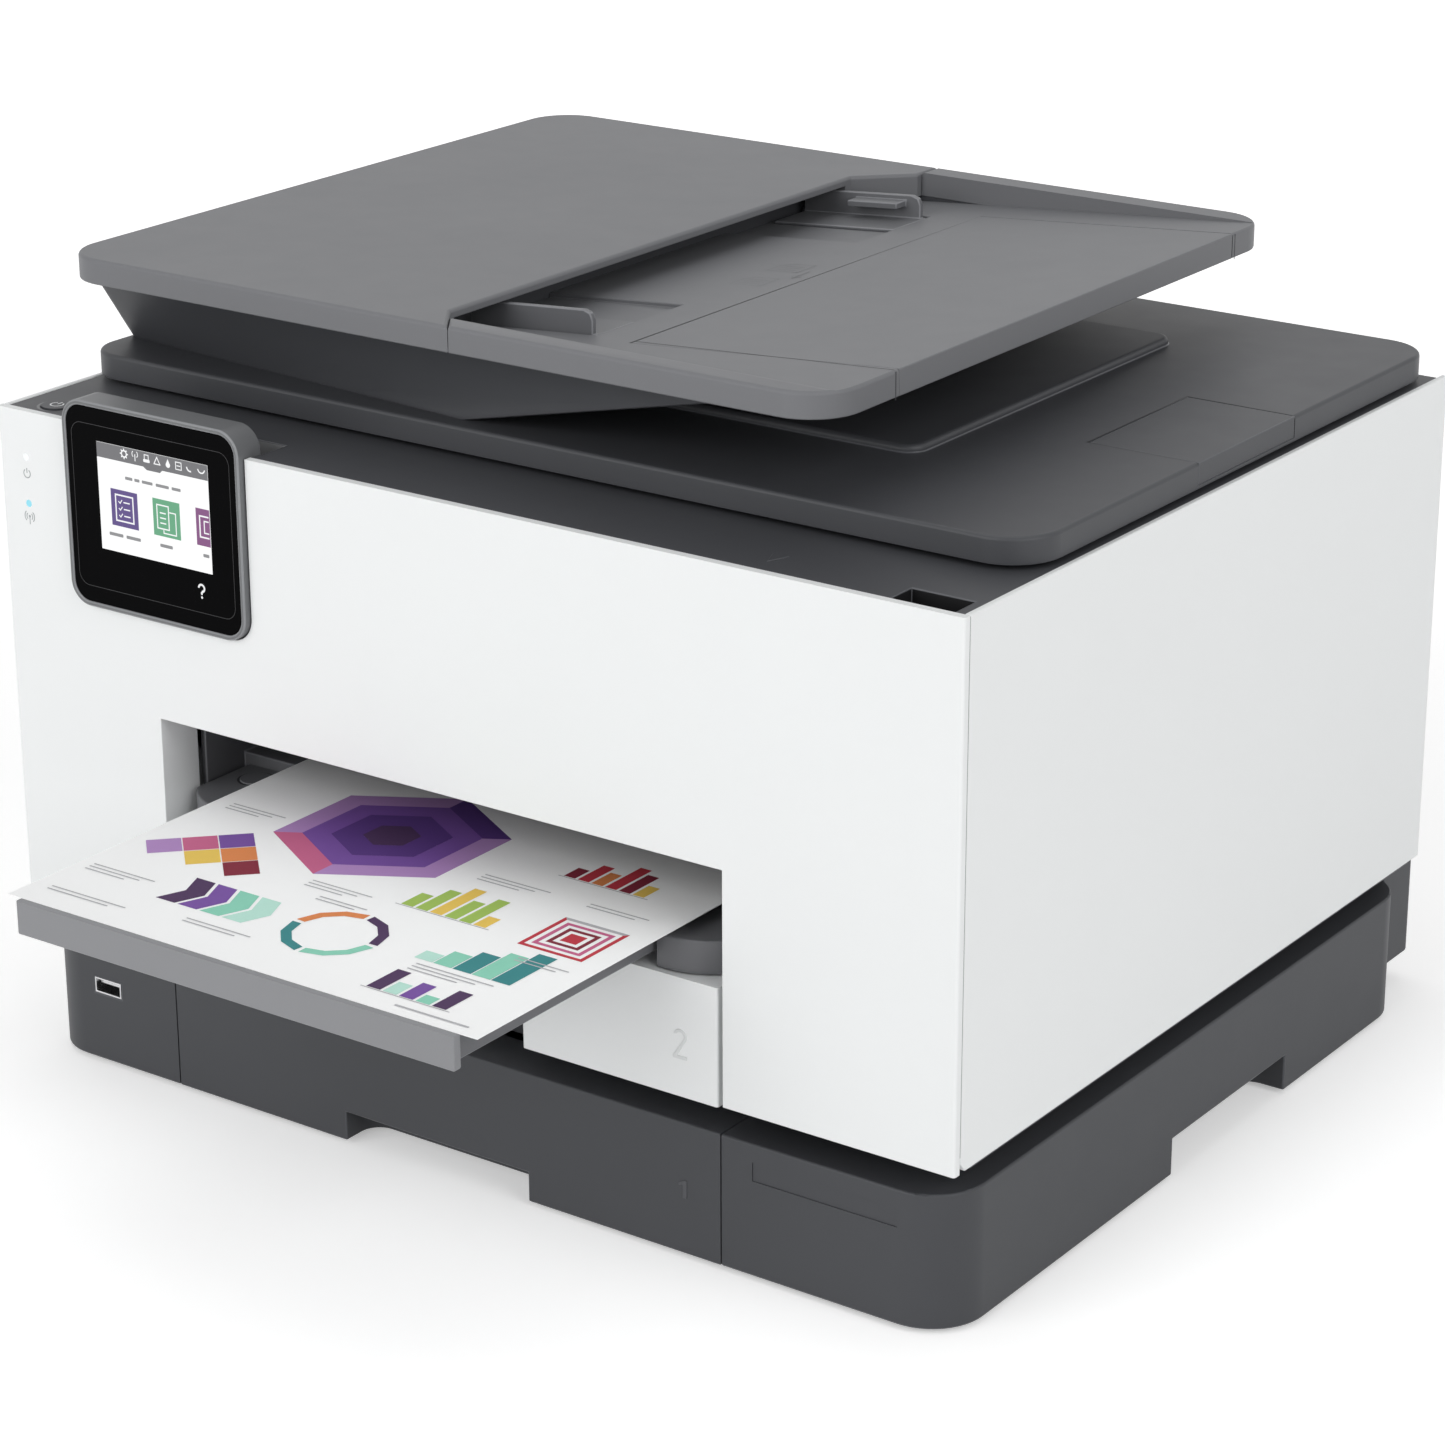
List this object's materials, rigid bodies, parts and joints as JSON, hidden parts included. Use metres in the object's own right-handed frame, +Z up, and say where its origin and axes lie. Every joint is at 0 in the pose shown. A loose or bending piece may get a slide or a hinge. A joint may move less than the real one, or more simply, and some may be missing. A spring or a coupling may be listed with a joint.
{
  "type": "inkjet printer",
  "caption": "White and charcoal desktop inkjet all-in-one with a sheet feeder and scanner on top, a tilting touch panel, pull-out paper trays and a printed page in the output.",
  "frame": {"origin": "middle of the bounding box at floor level", "axes": "+Z up, -Y towards the front with the panel and trays, +X to the right seen from the front"},
  "size_m": [0.437, 0.495, 0.322],
  "materials": {
    "white_plastic": "satin",
    "charcoal_plastic": "fine grain",
    "dark_grey_plastic": "fine grain",
    "feeder_grey_plastic": "fine grain",
    "bar_grey_plastic": "satin",
    "inner_plastic": "matt",
    "bezel_grey_plastic": "satin",
    "black_gloss_plastic": "polished",
    "screen": "lit panel",
    "light_lens": "clear",
    "steel": "plain",
    "sheet_metal": "plain",
    "clear_glass": "polished",
    "black_rubber": "matt",
    "white_foam": "matt",
    "paper": "matt paper",
    "ink_black": "satin",
    "ink_cyan": "satin",
    "ink_magenta": "satin",
    "ink_yellow": "satin",
    "circuit_board": "lacquered"
  },
  "bodies": {
    "body": {"base_tub": "charcoal_plastic", "foot_pads": "black_rubber", "usb_socket": "steel", "chassis_floor": "inner_plastic", "inner_frame": "inner_plastic", "left_side_panel": "white_plastic", "right_side_panel": "white_plastic", "door_hinge_pins": "steel", "scanner_housing": "charcoal_plastic", "scanner_glass": "clear_glass", "scan_rod": "steel", "hinge_brackets": "charcoal_plastic", "hinge_pins": "steel", "rear_housing": "charcoal_plastic", "power_inlet": "inner_plastic", "network_ports": "inner_plastic", "output_tray": "dark_grey_plastic", "platen": "inner_plastic", "carriage_rod": "steel", "carriage_belt": "black_rubber", "power_supply": "sheet_metal", "main_board": "circuit_board"},
    "front_door": {"front_door": "white_plastic", "status_lights": "light_lens", "control_pins": "steel"},
    "control_panel": {"control_bezel": "bezel_grey_plastic", "control_glass": "black_gloss_plastic", "display": "screen"},
    "lid": {"scanner_lid": "charcoal_plastic", "lid_pad": "white_foam", "feeder_base": "dark_grey_plastic", "feeder_tray": "feeder_grey_plastic"},
    "output_extension": {"output_extension": "dark_grey_plastic", "extension_bar": "bar_grey_plastic"},
    "tray1": {"tray1_box": "charcoal_plastic", "tray1_front": "charcoal_plastic"},
    "tray2": {"tray2_box": "charcoal_plastic", "tray2_front": "white_plastic"},
    "carriage": {"carriage": "inner_plastic", "print_head": "sheet_metal", "cartridge_black": "ink_black", "cartridge_cyan": "ink_cyan", "cartridge_magenta": "ink_magenta", "cartridge_yellow": "ink_yellow"},
    "power_button": {"power_button": "charcoal_plastic"},
    "scan_bar": {"scan_bar": "inner_plastic"},
    "document_stop": {"document_stop": "dark_grey_plastic"},
    "feeder_cover": {"feeder_cover": "feeder_grey_plastic"},
    "feeder_extension": {"feeder_extension": "feeder_grey_plastic"},
    "feeder_guide_front": {"feeder_guide_front": "feeder_grey_plastic"},
    "feeder_guide_rear": {"feeder_guide_rear": "feeder_grey_plastic"},
    "feeder_roller": {"feeder_roller": "black_rubber"},
    "rear_access_cover": {"rear_access_cover": "charcoal_plastic"},
    "printed_sheet": {"printed_sheet": "paper"},
    "tray1_guide_left": {"tray1_guide_left": "dark_grey_plastic"},
    "tray1_guide_right": {"tray1_guide_right": "dark_grey_plastic"},
    "feed_roller": {"feed_roller": "black_rubber"},
    "eject_roller": {"eject_roller": "black_rubber"},
    "drive_pulley": {"drive_pulley": "sheet_metal"},
    "idler_pulley": {"idler_pulley": "sheet_metal"}
  },
  "joints": [
    {"name": "front_door_hinge", "type": "hinge", "parent": "body", "child": "front_door", "pos_m": [0, -0.1245, 0.072], "axis": [1, 0, 0], "range_deg": [0, 38]},
    {"name": "control_panel_tilt", "type": "hinge", "parent": "front_door", "child": "control_panel", "pos_m": [-0.1375, -0.1265, 0.262], "axis": [-1, 0, 0], "range_deg": [0, 35]},
    {"name": "lid_hinge", "type": "hinge", "parent": "body", "child": "lid", "pos_m": [0, 0.2265, 0.263], "axis": [-1, 0, 0], "range_deg": [0, 75]},
    {"name": "feeder_cover_hinge", "type": "hinge", "parent": "lid", "child": "feeder_cover", "pos_m": [-0.213, 0.067, 0.315], "axis": [0, -1, 0], "range_deg": [0, 55]},
    {"name": "feeder_extension_slide", "type": "slide", "parent": "lid", "child": "feeder_extension", "axis": [0.9972, 0, 0.0753], "range_m": [0, 0.07]},
    {"name": "feeder_guide_front_slide", "type": "slide", "parent": "lid", "child": "feeder_guide_front", "axis": [0, 1, 0], "range_m": [0, 0.028]},
    {"name": "feeder_guide_rear_slide", "type": "slide", "parent": "lid", "child": "feeder_guide_rear", "axis": [0, -1, 0], "range_m": [0, 0.028]},
    {"name": "feeder_roller_spin", "type": "hinge", "parent": "lid", "child": "feeder_roller", "pos_m": [-0.075, 0.067, 0.3055], "axis": [0, 1, 0], "continuous": true},
    {"name": "document_stop_slide", "type": "slide", "parent": "lid", "child": "document_stop", "axis": [1, 0, 0], "range_m": [0, 0.035]},
    {"name": "power_button_press", "type": "slide", "parent": "body", "child": "power_button", "axis": [0, 0, -1], "range_m": [0, 0.0015], "stiffness_N_per_m": 400, "springref_m": -0.0008},
    {"name": "scan_bar_slide", "type": "slide", "parent": "body", "child": "scan_bar", "axis": [1, 0, 0], "range_m": [0, 0.32]},
    {"name": "tray1_slide", "type": "slide", "parent": "body", "child": "tray1", "axis": [0, -1, 0], "range_m": [0, 0.22]},
    {"name": "tray1_guide_left_slide", "type": "slide", "parent": "tray1", "child": "tray1_guide_left", "axis": [1, 0, 0], "range_m": [0, 0.05]},
    {"name": "tray1_guide_right_slide", "type": "slide", "parent": "tray1", "child": "tray1_guide_right", "axis": [-1, 0, 0], "range_m": [0, 0.05]},
    {"name": "tray2_slide", "type": "slide", "parent": "body", "child": "tray2", "axis": [0, -1, 0], "range_m": [0, 0.22]},
    {"name": "output_extension_slide", "type": "slide", "parent": "body", "child": "output_extension", "axis": [0, 1, 0], "range_m": [0, 0.104]},
    {"name": "printed_sheet_slide", "type": "slide", "parent": "body", "child": "printed_sheet", "axis": [0, -1, 0], "range_m": [0, 0.12]},
    {"name": "carriage_slide", "type": "slide", "parent": "body", "child": "carriage", "axis": [-1, 0, 0], "range_m": [0, 0.29]},
    {"name": "drive_pulley_spin", "type": "hinge", "parent": "body", "child": "drive_pulley", "pos_m": [0.188, 0.1525, 0.212], "axis": [0, 1, 0], "range_deg": [0, 2190]},
    {"name": "idler_pulley_spin", "type": "hinge", "parent": "body", "child": "idler_pulley", "pos_m": [-0.188, 0.1525, 0.212], "axis": [0, 1, 0], "range_deg": [0, 2190]},
    {"name": "feed_roller_spin", "type": "hinge", "parent": "body", "child": "feed_roller", "pos_m": [0, 0.1245, 0.133], "axis": [1, 0, 0], "continuous": true},
    {"name": "eject_roller_spin", "type": "hinge", "parent": "body", "child": "eject_roller", "pos_m": [0, 0.0735, 0.132], "axis": [1, 0, 0], "continuous": true},
    {"name": "rear_access_hinge", "type": "hinge", "parent": "body", "child": "rear_access_cover", "pos_m": [0, 0.246, 0.098], "axis": [-1, 0, 0], "range_deg": [0, 75]}
  ],
  "couplings": [
    {"joint": "feeder_guide_rear_slide", "follows": "feeder_guide_front_slide", "ratio": 1},
    {"joint": "tray1_guide_right_slide", "follows": "tray1_guide_left_slide", "ratio": 1},
    {"joint": "drive_pulley_spin", "follows": "carriage_slide", "rad_per_m": 131.58},
    {"joint": "idler_pulley_spin", "follows": "carriage_slide", "rad_per_m": 131.58},
    {"joint": "eject_roller_spin", "follows": "feed_roller_spin", "ratio": 1.3333}
  ]
}
